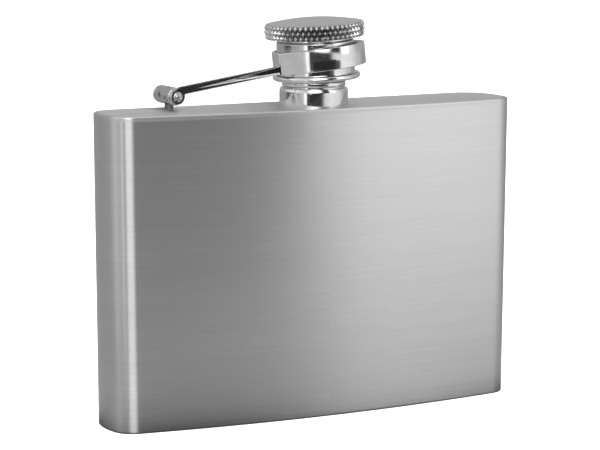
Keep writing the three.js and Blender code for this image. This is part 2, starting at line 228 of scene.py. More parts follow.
def lathe(profile, count, closed=False, axis="z", bump=None, second_from=math.inf):
    """Revolves (radius, z) points in count steps.

    bump(angles, z, radius) gives the radii around a row. Rows from second_from on take
    material 1. With axis "y" the profile's z runs along +Y.
    """
    shell = Shell()
    angles = np.arange(count) * TAU / count
    length, rows = 0.0, []
    for k, (radius, z) in enumerate(profile):
        if k:
            length += math.hypot(radius - profile[k - 1][0], z - profile[k - 1][1])
        on_axis = radius < 1e-6
        if on_axis:
            first = shell.add([(0, 0, z)])
        else:
            radii = bump(angles, z, radius) if bump else radius
            first = shell.add(np.stack(
                [radii * np.cos(angles), radii * np.sin(angles), np.full(count, z)], -1))
        rows.append((first, on_axis, radius, length))
    pairs = [(k, k + 1) for k in range(len(rows) - 1)]
    if closed:
        pairs.append((len(rows) - 1, 0))
    for k, following in pairs:
        a, a_on_axis, a_radius, a_len = rows[k]
        b, b_on_axis, b_radius, b_len = rows[following]
        mat = int(k >= second_from)
        widest = max(a_radius, b_radius)
        for i in range(count):
            j = (i + 1) % count
            here, there = widest * i * TAU / count, widest * (i + 1) * TAU / count
            if a_on_axis:
                corners, uv = (a, b + j, b + i), [(a_len, here), (b_len, there), (b_len, here)]
            elif b_on_axis:
                corners, uv = (a + i, a + j, b), [(a_len, here), (a_len, there), (b_len, here)]
            else:
                corners = (a + i, a + j, b + j, b + i)
                uv = [(a_len, here), (a_len, there), (b_len, there), (b_len, here)]
            shell.face(corners, uv, mat)
    if axis == "y":
        shell.verts = [(x, z, -y) for x, y, z in shell.verts]
    return shell


def cylinder_y(radius, reach, count):
    """Solid cylinder along Y from -reach to reach, for cutting."""
    return lathe([(0, -reach), (radius, -reach), (radius, reach), (0, reach)], count, axis="y")


# =====================================================================
# materials (lengths and texture scales in metres)
# =====================================================================
class Nodes:
    """Short ways to fill a node tree. A value may be a number, a colour or a socket."""

    def __init__(self, tree):
        self.tree = tree
        tree.nodes.clear()

    def node(self, kind, sockets=None, **properties):
        node = self.tree.nodes.new("ShaderNode" + kind)
        for key, value in properties.items():
            setattr(node, key, value)
        for key, value in (sockets or {}).items():
            if isinstance(value, bpy.types.NodeSocket):
                self.tree.links.new(value, node.inputs[key])
            else:
                node.inputs[key].default_value = value
        return node

    def out(self, kind, sockets=None, **properties):
        """Makes a node and returns its first output."""
        return self.node(kind, sockets, **properties).outputs[0]

    def math(self, operation, a, b=0.0, clamp=False):
        return self.out("Math", {0: a, 1: b}, operation=operation, use_clamp=clamp)

    def add(self, first, *rest, clamp=False):
        other = rest[0] if len(rest) == 1 else self.add(*rest)
        return self.math("ADD", first, other, clamp)

    def swing(self, texture, amount):
        """A 0..1 texture turned into a change about zero."""
        return self.math("MULTIPLY", self.math("SUBTRACT", texture, 0.5), amount)

    def remap(self, value, span, to, smooth=False):
        return self.out("MapRange", {0: value, 1: span[0], 2: span[1], 3: to[0], 4: to[1]},
                        interpolation_type="SMOOTHSTEP" if smooth else "LINEAR", clamp=True)

    def object_coords(self):
        return self.node("TexCoord").outputs["Object"]

    def noise(self, coords, scale=1.0, detail=2.0, rough=0.5, stretch=(1, 1, 1),
              offset=(0, 0, 0), distort=0.0):
        mapped = self.out("Mapping", {"Location": offset, "Scale": stretch, "Vector": coords})
        return self.node("TexNoise", {
            "Scale": scale, "Detail": detail, "Roughness": rough, "Distortion": distort,
            "Vector": mapped}).outputs["Fac"]

    def grey(self, value):
        return self.out("CombineColor", {0: value, 1: value, 2: value})

    def mix(self, a, b, factor, blend="MIX"):
        return self.out("MixRGB", {0: factor, 1: a, 2: b}, blend_type=blend)

    def bump(self, height, strength, distance, **normal):
        return self.out("Bump", {"Strength": strength, "Distance": distance,
                                 "Height": height, **normal})

    def principled(self, sockets):
        self.node("OutputMaterial", {0: self.out("BsdfPrincipled", sockets)})


def new_material(name):
    material = bpy.data.materials.new(name)
    material.use_nodes = True
    return material, Nodes(material.node_tree)


def brushed(name, base, rough, aniso, streak=1.0):
    """Brushed stainless steel: grain along V of the brush UV."""
    material, net = new_material(name)
    uv = net.out("UVMap", uv_map="brush")
    tangent = net.out("Tangent", direction_type="UV_MAP", uv_map="brush")
    fine = net.noise(uv, detail=3.0, rough=0.6, stretch=(7000.0, 70.0, 1.0))
    mid = net.noise(uv, rough=0.55, stretch=(1500.0, 22.0, 1.0), offset=(3.1, 0.7, 0))
    wide = net.noise(uv, detail=1.0, stretch=(240.0, 7.0, 1.0), offset=(9.3, 2.2, 0))
    cloud = net.noise(uv, stretch=(30.0, 24.0, 1.0), offset=(1.3, 5.2, 0))
    streaks = net.add(net.swing(fine, amount=0.16 * streak),
                      net.swing(mid, amount=0.12 * streak),
                      net.swing(wide, amount=0.06 * streak),
                      net.swing(cloud, amount=0.04))
    height = net.add(fine, net.math("MULTIPLY", mid, 0.6))
    net.principled({
        "Base Color": net.grey(net.math("MULTIPLY", net.add(streaks, 1.0), base)),
        "Metallic": 1.0,
        "Roughness": net.add(rough, net.swing(mid, amount=0.10),
                             net.swing(fine, amount=0.12), clamp=True),
        "Anisotropic": aniso,
        "Tangent": tangent,
        "Normal": net.bump(height, strength=0.10, distance=0.00003)})
    return material


def polished(name, base, rough, wear=1.0, shade=None):
    """Polished steel: random hairlines, faint smudges, soft waviness.

    shade(net) may give a factor that darkens the colour: worn pits and rubs, or painted shade
    in the grooves.
    """
    material, net = new_material(name)
    obj = net.object_coords()
    smudge = net.noise(obj, scale=420.0, detail=3.0, rough=0.6, offset=(0.2, 0.4, 0.1))
    wave = net.noise(obj, scale=260.0, detail=1.0, rough=0.4, offset=(0.7, 0.1, 0.3))
    lines_z = net.noise(obj, rough=0.6, stretch=(900.0, 900.0, 5200.0),
                        offset=(0.3, 0.1, 0.5), distort=0.6)
    lines_x = net.noise(obj, rough=0.6, stretch=(4800.0, 700.0, 900.0),
                        offset=(1.3, 0.4, 0.2), distort=0.8)
    lines = net.add(net.remap(lines_z, span=(0.66, 0.74), to=(0.0, 1.0)),
                    net.remap(lines_x, span=(0.67, 0.76), to=(0.0, 1.0)), clamp=True)
    colour = net.grey(net.math(
        "MULTIPLY", base, net.remap(smudge, span=(0.3, 0.75), to=(1.03, 0.90))))
    if shade:
        colour = net.mix(colour, net.grey(shade(net)), factor=1.0, blend="MULTIPLY")
    waviness = net.bump(wave, strength=0.25 * wear, distance=0.00004)
    net.principled({
        "Base Color": colour,
        "Metallic": 1.0,
        "Roughness": net.add(
            net.remap(smudge, span=(0.35, 0.75), to=(rough, rough + 0.09 * wear)),
            net.math("MULTIPLY", lines, 0.16 * wear), clamp=True),
        "Normal": net.bump(net.math("SUBTRACT", 0.0, lines), strength=0.18 * wear,
                           distance=0.00002, Normal=waviness)})
    return material


def pits_and_rubs(net):
    """Small dark pits and rubbed patches."""
    obj = net.object_coords()
    pits = net.noise(obj, scale=950.0, offset=(0.37, 0.12, 0.55))
    rubs = net.noise(obj, scale=2400.0, rough=0.6, offset=(0.1, 0.6, 0.3))
    return net.math("MULTIPLY", net.remap(pits, span=(0.33, 0.40), to=(0.12, 1.0)),
                    net.remap(rubs, span=(0.35, 0.60), to=(0.72, 1.0)))


def painted_groove_shade(net):
    """Painted shade for the knurl: darkens the grooves by pointiness, leaving the points at
    full colour.
    """
    pointiness = net.node("NewGeometry").outputs["Pointiness"]
    return net.remap(pointiness, span=(0.425, 0.53), to=(0.05, 1.0))


def satin(name, base, rough):
    """Fine-grained satin steel."""
    material, net = new_material(name)
    obj = net.object_coords()
    grain = net.noise(obj, scale=9000.0, rough=0.6)
    lines = net.noise(obj, rough=0.6, stretch=(300.0, 6500.0, 300.0), offset=(0.4, 0.2, 0.1))
    cloud = net.noise(obj, scale=260.0, offset=(0.1, 0.8, 0.2))
    change = net.add(net.swing(grain, amount=0.10), net.swing(lines, amount=0.08),
                     net.swing(cloud, amount=0.06))
    net.principled({
        "Base Color": net.grey(net.math("MULTIPLY", net.add(change, 1.0), base)),
        "Metallic": 1.0,
        "Roughness": net.add(rough, net.swing(grain, amount=0.14)),
        "Normal": net.bump(net.add(grain, lines), strength=0.12, distance=0.00003)})
    return material


def silicone(name):
    material, net = new_material(name)
    obj = net.object_coords()
    grain = net.noise(obj, scale=2600.0, detail=3.0, rough=0.55)
    cloud = net.noise(obj, scale=320.0, offset=(0.4, 0.1, 0.9))
    pale, dark = (0.74, 0.73, 0.68, 1), (0.60, 0.58, 0.52, 1)
    net.principled({
        "Base Color": net.mix(pale, dark, factor=net.remap(
            cloud, span=(0.35, 0.7), to=(0.0, 1.0))),
        "Roughness": net.remap(grain, span=(0.3, 0.7), to=(0.5, 0.7)),
        "Subsurface Weight": 0.25,
        "Subsurface Radius": (0.002, 0.0018, 0.0014),
        "Subsurface Scale": 0.5,
        "Normal": net.bump(grain, strength=0.2, distance=0.00005)})
    return material


BODY_STEEL = brushed("brushed_body", base=0.62, rough=0.32, aniso=0.92)
PLATE_STEEL = brushed("brushed_plate", base=0.62, rough=0.40, aniso=0.70, streak=1.2)
INSIDE_STEEL = satin("body_inside", base=0.34, rough=0.55)
FITTING_STEEL = polished("polished_fittings", base=0.76, rough=0.06)
STRAP_STEEL = polished("polished_strap", base=0.76, rough=0.05, wear=0.6)
BARREL_STEEL = polished("barrel_steel", base=0.66, rough=0.20, wear=1.6, shade=pits_and_rubs)
# the knurl's grooves carry painted shade
KNURL_STEEL = polished("knurl_steel", base=0.60, rough=0.15, shade=painted_groove_shade)
CAP_TOP_STEEL = satin("satin_cap_top", base=0.65, rough=0.40)
# painted dark reflection: the post's steel is made nearly black to stand in for the dark
# surroundings it mirrors
POST_STEEL_PAINTED_DARK = polished("post_steel_painted_dark", base=0.16, rough=0.22)
GASKET_SILICONE = silicone("gasket_silicone")


# =====================================================================
# body
# =====================================================================
def right_outline(half_width, inset):
    """The outline's right half, from the front centre round the end to the back centre."""
    front_c = (0.0, -HALF_DEPTH + FRONT_R)
    end_c = (half_width - END_R, END_Y)
    back_c = (0.0, HALF_DEPTH + BACK_R)

    def meet(a, a_radius, b, b_radius):
        """The right-hand crossing of two circles."""
        dx, dy = b[0] - a[0], b[1] - a[1]
        gap = math.hypot(dx, dy)
        along = (a_radius * a_radius - b_radius * b_radius + gap * gap) / (2 * gap)
        off = math.sqrt(max(a_radius * a_radius - along * along, 0))
        x, y = a[0] + dx * along / gap, a[1] + dy * along / gap
        one = (x - dy * off / gap, y + dx * off / gap)
        two = (x + dy * off / gap, y - dx * off / gap)
        return one if one[0] > two[0] else two

    def bearing(centre, point):
        return math.atan2(point[1] - centre[1], point[0] - centre[0])

    def arc(centre, radius, start, end, steps):
        turns = [start + (end - start) * i / steps for i in range(steps + 1)]
        return [(centre[0] + radius * math.cos(a), centre[1] + radius * math.sin(a))
                for a in turns]

    corner_f = meet(end_c, END_R - FRONT_CORNER_R, front_c, FRONT_R - FRONT_CORNER_R)
    corner_b = meet(end_c, END_R - BACK_CORNER_R, back_c, BACK_R + BACK_CORNER_R)
    front_end = bearing(front_c, corner_f)
    end_start, end_stop = bearing(end_c, corner_f), bearing(end_c, corner_b)
    back_start = bearing(back_c, corner_b)
    return (arc(front_c, FRONT_R - inset, -QUARTER, front_end, 54)
            + arc(corner_f, FRONT_CORNER_R - inset, front_end, end_start, 16)[1:]
            + arc(end_c, END_R - inset, end_start, end_stop, 26)[1:]
            + arc(corner_b, BACK_CORNER_R - inset, end_stop, back_start + math.pi, 18)[1:]
            + arc(back_c, BACK_R + inset, back_start, -QUARTER, 40)[1:])


def outline(half_width, inset):
    right = right_outline(half_width, inset)
    return np.array(right + [(-x, y) for x, y in right[1:-1][::-1]])


def half_at(z):
    return HALF_WIDTH - TAPER * (1 - z / RIM_Z)


def seam_half(sign, share):
    """Half width between a seam (share 0) and the plate beyond it (share 1)."""
    if sign < 0:
        return half_at(SEAM_LO)
    return half_at(SEAM_HI) + (HALF_WIDTH - half_at(SEAM_HI)) * share


RIM_OUTLINE = outline(HALF_WIDTH, 0)
OUTLINE_COUNT = len(RIM_OUTLINE)
# distance round the outline at each point, and the full length
ARC_LENGTHS = np.concatenate(
    [[0], np.cumsum(np.hypot(*(np.roll(RIM_OUTLINE, -1, 0) - RIM_OUTLINE).T))])


def level(points, z):
    """Points (x, y) raised to z, which is one height or one for each point."""
    return np.column_stack([points, np.full(len(points), z)])


def around_uv(along):
    return [(along, s) for s in ARC_LENGTHS]


def flat_uv(points):
    return [(y, x) for x, y in points] + [(points[0][1], points[0][0])]


def body_wall():
    shell = Shell()
    heights = np.linspace(SEAM_LO, SEAM_HI, 15)
    outer = [shell.add(level(outline(half_at(z), 0), z)) for z in heights]
    shell.loft(outer, OUTLINE_COUNT, 0, [around_uv(z) for z in heights])
    inner = [shell.add(level(outline(half_at(z), WALL), z)) for z in (SEAM_LO, SEAM_HI)]
    for pair in (inner, (outer[0], inner[0]), (outer[-1], inner[1])):
        shell.loft(pair, OUTLINE_COUNT, 1)
    return shell


def outer_fold(shell, z_seam, sign):
    """Wall, tight fold, then a flat margin. sign is 1 upwards and -1 downwards."""
    straight = EDGE_R - FOLD_R
    # (drawn in, away from the seam)
    profile = [(0.0, 0.0), (0.0, straight * 0.6)]
    profile += [(FOLD_R * (1 - math.cos(a)), straight + FOLD_R * math.sin(a))
                for a in np.linspace(0, QUARTER, 7)]
    profile += [(FOLD_R + straight * 0.5, EDGE_R), (EDGE_R, EDGE_R)]
    rings, uvs, length = [], [], 0.0
    for k, (inset, rise) in enumerate(profile):
        if k:
            length += math.hypot(inset - profile[k - 1][0], rise - profile[k - 1][1])
        half_width = seam_half(sign, rise / EDGE_R)
        rings.append(shell.add(level(outline(half_width, inset), z_seam + sign * rise)))
        uvs.append(around_uv(sign * length))
    shell.loft(rings, OUTLINE_COUNT, 0, uvs)
    return rings


def inner_fold(shell, ring, z_seam, sign, seam_ring):
    """Brings the plate's inner face back to the seam and joins it to seam_ring."""
    radius = EDGE_R - WALL
    for k in range(3, -1, -1):
        angle = k / 4 * QUARTER
        points = outline(seam_half(sign, k / 4), WALL + radius * (1 - math.cos(angle)))
        following = shell.add(level(points, z_seam + sign * radius * math.sin(angle)))
        shell.loft([ring, following], OUTLINE_COUNT, 2)
        ring = following
    shell.loft([ring, seam_ring], OUTLINE_COUNT, 2)


def crown_share(x, y, rim):
    """How far (x, y) lies from the spine, as a share of the way to the rim."""
    if abs(x) <= SPINE_X:
        side = rim[(rim[:, 1] > 0) == (y > 0)]
        side = side[np.argsort(side[:, 0])]
        rim_y = np.interp(x, side[:, 0], side[:, 1])
        return min(abs(y / rim_y), 1.0) if abs(rim_y) > 1e-9 else 0.0
    sign, centre = math.copysign(1, x), math.copysign(SPINE_X, x)
    reach = math.hypot(x - centre, y)
    if reach < 1e-9:
        return 0.0
    off_x, off_y = rim[:, 0] - centre, rim[:, 1]
    near = (np.sign(off_x) == sign) | (abs(off_x) < 0.6)
    angles = np.arctan2(off_y[near], off_x[near] * sign)
    radii = np.hypot(off_x[near], off_y[near])
    order = np.argsort(angles)
    full = np.interp(math.atan2(y, (x - centre) * sign), angles[order], radii[order])
    return min(reach / full, 1.0)


def top_plate():
    """Crowned plate, open for the neck."""
    shell = Shell()
    fold = outer_fold(shell, SEAM_HI, 1)
    rim = outline(HALF_WIDTH, EDGE_R)
    angles = ARC_LENGTHS[:-1] / ARC_LENGTHS[-1] * TAU - QUARTER
    hole_r = COLLAR_R + 0.02
    hole = np.column_stack([NECK_X + hole_r * np.cos(angles), hole_r * np.sin(angles)])
    grids = []
    # shares of the way from the rim to the hole
    for share in (0.0, 0.02, 0.06, 0.12, 0.2, 0.3, 0.4, 0.5, 0.6, 0.7, 0.8, 0.88, 0.95, 1.0):
        points = rim * (1 - share) + hole * share
        shares = np.array([crown_share(x, y, rim) for x, y in points])
        grids.append((points, CROWN * (1 - shares ** 2)))
    outer = [fold[-1]] + [shell.add(level(points, RIM_Z + rise)) for points, rise in grids[1:]]
    shell.loft(outer, OUTLINE_COUNT, 1, [flat_uv(points) for points, _ in grids])
    inner = [shell.add(level(points, RIM_Z - WALL + rise)) for points, rise in grids]
    shell.loft([outer[-1], inner[-1]], OUTLINE_COUNT, 2)
    shell.loft(inner, OUTLINE_COUNT, 2)
    inner_fold(shell, inner[0], SEAM_HI, 1, fold[0])
    return shell


def bottom_plate():
    shell = Shell()
    fold = outer_fold(shell, SEAM_LO, -1)
    rim = outline(half_at(SEAM_LO), EDGE_R)

    def flat_floor(ring, z, mat):
        """Rings drawn in towards the spine; returns the last ring's corners and points."""
        previous = rim
        for share in (0.9, 0.7, 0.45, 0.2):
            spine = np.clip(rim[:, 0], -SPINE_X, SPINE_X)
            points = np.column_stack([spine + (rim[:, 0] - spine) * share, rim[:, 1] * share])
            following = shell.add(level(points, z))
            shell.loft([ring, following], OUTLINE_COUNT, mat,
                       [flat_uv(previous), flat_uv(points)])
            ring, previous = following, points
        return [ring + i for i in range(OUTLINE_COUNT)], previous

    corners, points = flat_floor(fold[-1], 0.0, 1)
    shell.face(corners, flat_uv(points)[:-1], 1)
    inner = shell.add(level(rim, WALL))
    corners, _ = flat_floor(inner, WALL, 2)
    shell.face(corners, None, 2)
    inner_fold(shell, inner, SEAM_LO, -1, fold[0])
    return shell


build("body_wall_shell", body_wall(), [BODY_STEEL, INSIDE_STEEL],
      "flask", "body_wall")
build("top_plate_shell", top_plate(), [PLATE_STEEL, PLATE_STEEL, INSIDE_STEEL],
      "flask", "top_plate")
build("bottom_plate_shell", bottom_plate(), [BODY_STEEL, PLATE_STEEL, INSIDE_STEEL],
      "flask", "bottom_plate")


# =====================================================================
# neck; profiles are (radius, z) or (radius, z, corner radius)
# =====================================================================
def neck_collar():
    bore = NECK_R + 0.03
    profile = fillet([
        (bore, NECK_FOOT), (COLLAR_R, NECK_FOOT), (COLLAR_R, COLLAR_TOP - 0.55, 1.2),
        (COLLAR_R - 0.18, COLLAR_TOP, 0.22), (bore, COLLAR_TOP)], closed=True, seg=8)
    return lathe(profile, 144, closed=True).shift(NECK_X)


def thread_ridge(turns):
    """Height, 0 to 1, of a ridge with sloping flanks in the middle of each turn."""
    return np.clip((0.30 - np.abs(turns % 1.0 - 0.5)) / 0.16, 0, 1)


def neck_tube():
    """Plain tube below, one helical thread above, rounded lip, open bore."""
    thread_lo, thread_hi = NECK_PLAIN_TOP + 0.12, NECK_TOP - 0.35
    # plain tube with a groove round it just above the collar
    profile = [
        (NECK_R, NECK_FOOT), (NECK_R, COLLAR_TOP - 0.12), (NECK_R - 0.34, COLLAR_TOP - 0.04),
        (NECK_R - 0.34, COLLAR_TOP + 0.26), (NECK_R - 0.06, COLLAR_TOP + 0.36),
        (NECK_R, COLLAR_TOP + 0.44), (NECK_R, NECK_PLAIN_TOP - 0.3)]
    # rounded shoulder
    profile += [(NECK_R - 0.25 + 0.25 * math.cos(a), NECK_PLAIN_TOP - 0.25 + 0.25 * math.sin(a))
                for a in np.linspace(0.15, QUARTER, 5)]
    profile += [(THREAD_ROOT_R + 0.12, NECK_PLAIN_TOP), (THREAD_ROOT_R, thread_lo)]
    profile += [(THREAD_ROOT_R, z) for z in np.linspace(thread_lo, thread_hi, 62)[1:]]
    # lip and bore
    profile += [
        (THREAD_ROOT_R - 0.02, NECK_TOP - 0.2), (THREAD_ROOT_R - 0.1, NECK_TOP - 0.06),
        (THREAD_ROOT_R - 0.22, NECK_TOP), (NECK_BORE_R + 0.2, NECK_TOP),
        (NECK_BORE_R + 0.06, NECK_TOP - 0.06), (NECK_BORE_R, NECK_TOP - 0.2),
        (NECK_BORE_R, NECK_FOOT)]

    def thread(angles, z, radius):
        if not (thread_lo < z < thread_hi and abs(radius - THREAD_ROOT_R) < 1e-6):
            return radius
        turns = (z - thread_lo) / THREAD_PITCH - angles / TAU
        ridge = thread_ridge(turns)
        ridge = ridge * ridge * (3 - 2 * ridge)
        # the ridge fades at both ends of its helix and of the threaded height
        last = (thread_hi - thread_lo) / THREAD_PITCH - 0.25
        run_out = np.clip(np.minimum(turns + 0.35, last - turns) / 0.25, 0, 1)
        fade = min((z - thread_lo) / 0.2, (thread_hi - z) / 0.2, 1.0)
        return radius + (THREAD_R - THREAD_ROOT_R) * ridge * run_out * max(fade, 0)

    return lathe(profile, 120, closed=True, bump=thread).shift(NECK_X)


build("neck_collar_ring", neck_collar(), [FITTING_STEEL],
      "flask", "neck_collar")
build("neck_threaded_tube", neck_tube(), [FITTING_STEEL],
      "flask", "neck_tube", sharp=50)

# =====================================================================
# cap
# =====================================================================
CAP_PLACE = placement((CAP_X, 0, CAP_Z), -CAP_LEAN)


def cap_head():
    """Diamond-knurled disc with a low dome on top, which takes the second material."""
    band = np.array(fillet([
        (HEAD_R - 1.1, HEAD_LO), (HEAD_R - 0.42, HEAD_LO + 0.03, 0.35),
        (HEAD_R, HEAD_LO + 0.80, 0.60), (HEAD_R, HEAD_HI - 0.80, 0.60),
        (HEAD_R - 0.50, HEAD_HI - 0.06, 0.35), (HEAD_R - 0.95, HEAD_HI + 0.01)], seg=5))
    # the knurled band is resampled finely along its length
    lengths = np.concatenate([[0], np.cumsum(np.hypot(*np.diff(band, axis=0).T))])
    stations = np.linspace(0, lengths[-1], 64)
    middle = (HEAD_LO + HEAD_HI) / 2

    def triangle(x):
        return 1 - np.abs(2 * np.mod(x, 1.0) - 1)

    def knurl(angles, z, radius):
        across, rise = angles * KNURL_TEETH / TAU, (z - middle) / KNURL_PITCH
        lowest = np.minimum(triangle(across + rise), triangle(across - rise))
        cut = HEAD_R - KNURL_DEPTH * (1 - np.minimum(lowest * 1.12, 1.0))
        # grooves run out over the rounded rims
        return np.minimum(radius, cut + np.maximum(HEAD_R - radius - 0.30, 0) * -0.35)

    profile = [(0.0, HEAD_LO + 0.02), (SLEEVE_R - 1.5, HEAD_LO + 0.02),
               (SLEEVE_R + 0.6, HEAD_LO + 0.02), (HEAD_R - 1.4, HEAD_LO)]
    profile += list(zip(np.interp(stations, lengths, band[:, 0]),
                        np.interp(stations, lengths, band[:, 1])))
    band_end = len(profile)
    dome_r, dome_z = HEAD_R - 1.15, HEAD_HI + 0.03
    profile.append((dome_r, dome_z))
    for share in np.linspace(0, 1, 12)[1:]:
        radius = dome_r * (1 - share)
        profile.append((radius, dome_z + (HEAD_DOME - 0.03) * (1 - (radius / dome_r) ** 2)))
    return lathe(profile, KNURL_TEETH * 12, bump=knurl, second_from=band_end - 1)


def cap_sleeve():
    """Roofed sleeve with a faint thread in its bore."""
    waist = SLEEVE_R - 0.35
    corners = fillet([
        (0, SLEEVE_ROOF), (SLEEVE_BORE_R, SLEEVE_ROOF, 0.15),
        (SLEEVE_BORE_R, SLEEVE_LO + 0.3, 0.1), (SLEEVE_BORE_R + 0.3, SLEEVE_LO, 0.1),
        (SLEEVE_R, SLEEVE_LO, 0.12), (SLEEVE_R, HEAD_LO - 0.75, 0.3),
        (waist, HEAD_LO - 0.45, 0.2), (waist, HEAD_LO - 0.02), (0, HEAD_LO - 0.02)], seg=6)
    profile = []
    for (r0, z0), (r1, z1) in zip(corners, corners[1:]):
        in_bore = abs(r0 - SLEEVE_BORE_R) < 0.01 and abs(r1 - SLEEVE_BORE_R) < 0.01
        steps = 40 if in_bore and abs(z1 - z0) > 2 else 1
        profile += [(r0 + (r1 - r0) * i / steps, z0 + (z1 - z0) * i / steps)
                    for i in range(steps)]
    profile.append(corners[-1])

    def thread(angles, z, radius):
        if radius < SLEEVE_BORE_R + 0.01 and SLEEVE_LO + 0.7 < z < SLEEVE_ROOF - 0.4:
            turns = (z - SLEEVE_LO) / THREAD_PITCH - angles / TAU
            return radius - BORE_THREAD * thread_ridge(turns)
        return radius

    return lathe(profile, 144, bump=thread)


def cap_bead():
    """Half-round bead round the sleeve's foot."""
    middle, half = (BEAD_LO + BEAD_HI) / 2, (BEAD_HI - BEAD_LO) / 2
    bore = SLEEVE_R + 0.02
    profile = [(bore, BEAD_LO + 0.02)]
    profile += [(BEAD_R - half + half * math.cos(a), middle + half * math.sin(a))
                for a in np.linspace(-QUARTER, QUARTER, 22)]
    profile.append((bore, BEAD_HI - 0.02))
    return lathe(profile, 144, closed=True)


def cap_gasket():
    profile = fillet([
        (GASKET_BORE_R, GASKET_LO, 0.15), (GASKET_R, GASKET_LO, 0.18),
        (GASKET_R, GASKET_HI, 0.18), (GASKET_BORE_R, GASKET_HI, 0.15)], closed=True, seg=5)
    return lathe(profile, 96, closed=True)


build("cap_knurled_head", cap_head(), [KNURL_STEEL, CAP_TOP_STEEL],
      "screw_cap", "cap_head", place=CAP_PLACE, sharp=38)
build("cap_threaded_sleeve", cap_sleeve(), [FITTING_STEEL],
      "screw_cap", "cap_sleeve", place=CAP_PLACE, sharp=45)
build("cap_rolled_bead", cap_bead(), [FITTING_STEEL],
      "screw_cap", "cap_bead", place=CAP_PLACE, sharp=45)
build("cap_seal_ring", cap_gasket(), [GASKET_SILICONE],
      "screw_cap", "cap_gasket", place=CAP_PLACE)


# =====================================================================
# strap: a closed band round the sleeve, with one flat arm to the hinge
# =====================================================================
def teardrop(radius):
    """Closed (x, y) line: an arc round the loop, and two straight runs to a tip."""
    reach = math.hypot(LOOP_X - FOLD_X, ARM_Y)
    bearing = math.atan2(ARM_Y, FOLD_X - LOOP_X)
    half = math.acos(LOOP_R / reach)
    start, end = bearing + half, bearing - half + TAU
    turns = [start + (end - start) * i / 150 for i in range(151)]
    arc = [(LOOP_X + radius * math.cos(a), radius * math.sin(a)) for a in turns]
    tip_reach = (radius - LOOP_R) / math.cos(half) + reach
    tip = (LOOP_X + tip_reach * math.cos(bearing), tip_reach * math.sin(bearing))

    def run(a, b, steps):
        return [(a[0] + (b[0] - a[0]) * i / 6, a[1] + (b[1] - a[1]) * i / 6) for i in steps]

    return arc + run(arc[-1], tip, range(1, 7)) + run(tip, arc[0], range(1, 6))


def strap_band():
    shell = Shell()
    thick, tall = STRIP_T / 2, LOOP_H / 2
    section = fillet([(-thick, -tall, 0.16), (thick, -tall, 0.16), (thick, tall, 0.16),
                      (-thick, tall, 0.16)], closed=True, seg=4)
    rings = []
    for outward, z in section:
        points = np.array(teardrop(LOOP_R + outward))
        rings.append(shell.add(level(points, LOOP_Z + z - TWIST_SLOPE * points[:, 1])))
    shell.loft(rings + rings[:1], len(points))
    return shell


def arm_outline():
    """Ear, arm and gusset as (x, z), running counter-clockwise with z up."""
    half = ARM_H / 2

    def middle(x):
        return ARM_Z0 + ARM_SLOPE * x

    foot = LOOP_Z - LOOP_H / 2 - TWIST_SLOPE * ARM_Y + 0.02
    start = math.asin((middle(0) - half + 0.02) / EAR_R)
    gusset_x = FOLD_X + 0.2
    points = [(EAR_R * math.cos(start), EAR_R * math.sin(start))]
    points += [(x, middle(x) - half) for x in np.linspace(2.4, FOLD_X - 1.6, 26)]
    points += [(FOLD_X - 0.6, middle(FOLD_X - 0.6) - half - 0.05), (gusset_x, foot)]
    points += [(gusset_x, foot + (GUSSET_TOP - foot) * share)
               for share in np.linspace(0, 1, 8)[1:]]
    points += [(FOLD_X - 0.3, 3.0), (FOLD_X - 0.8, middle(FOLD_X - 0.8) + half)]
    points += [(x, middle(x) + half) for x in np.linspace(FOLD_X - 1.4, 0.6, 26)]
    points += [(EAR_R * math.cos(a), EAR_R * math.sin(a))
               for a in np.linspace(math.pi * 0.62, start + TAU, 40)[:-1]]
    return np.array(points)


def strap_arm():
    """The arm's outline given its thickness along y, with rounded edges."""
    points = arm_outline()
    tangents = np.roll(points, -1, 0) - np.roll(points, 1, 0)
    tangents /= np.linalg.norm(tangents, axis=1)[:, None]
    inward = np.column_stack([-tangents[:, 1], tangents[:, 0]])
    count, shell = len(points), Shell()
    edge = 0.13
    # (drawn in, depth below the face), from the flat face to the side
    rounding = [(edge + 0.06, 0), (edge, 0), (edge * 0.45, edge * 0.16),
                (edge * 0.12, edge * 0.5), (0, edge)]
    back_y = ARM_Y + STRIP_T / 2
    levels = [(inset, EAR_FRONT + depth) for inset, depth in rounding]
    levels += [(inset, back_y - depth) for inset, depth in reversed(rounding)]
    rings = []
    for inset, y in levels:
        drawn = points + inward * inset
        rings.append(shell.add(np.column_stack([drawn[:, 0], np.full(count, y), drawn[:, 1]])))
    shell.loft(rings, count)
    shell.face([rings[0] + i for i in range(count)])
    shell.face([rings[-1] + i for i in range(count)][::-1])
    return shell


def build_strap():
    band = loose("tmp_band", strap_band(), [STRAP_STEEL])
    arm = loose("tmp_arm", strap_arm(), [STRAP_STEEL])
    strap = link_object("tmp_strap", boolean("strap", arm, band, "UNION"))
    hole = loose("tmp_hole", cylinder_y(TENON_R + 0.05, 4, 64), [STRAP_STEEL])
    mesh = boolean("strap_band_and_arm", strap, hole, "DIFFERENCE")
    mesh.transform(placement((PIN_X, 0, PIN_Z), -STRAP_UP))
    work = bmesh.new()
    work.from_mesh(mesh)
    bmesh.ops.remove_doubles(work, verts=work.verts, dist=2e-7)
    bmesh.ops.dissolve_degenerate(work, edges=work.edges, dist=1e-7)
    work.to_mesh(mesh)
    work.free()
    mesh.update()
    register("strap_band_and_arm", mesh, "strap_arm", "strap", sharp=28)


build_strap()

# =====================================================================
# hinge; the profiles along y are (radius, y) or (radius, y, corner radius)
# =====================================================================
PIN_PLACE = placement((PIN_X, 0, PIN_Z), 0)


def hinge_barrel():
    profile = fillet([
        (BARREL_BORE_R, BARREL_Y0, 0.1), (BARREL_R, BARREL_Y0, 0.24),
        (BARREL_R, BARREL_Y1, 0.3), (BARREL_BORE_R, BARREL_Y1, 0.1)], closed=True, seg=6)
    return lathe(profile, 96, closed=True, axis="y")


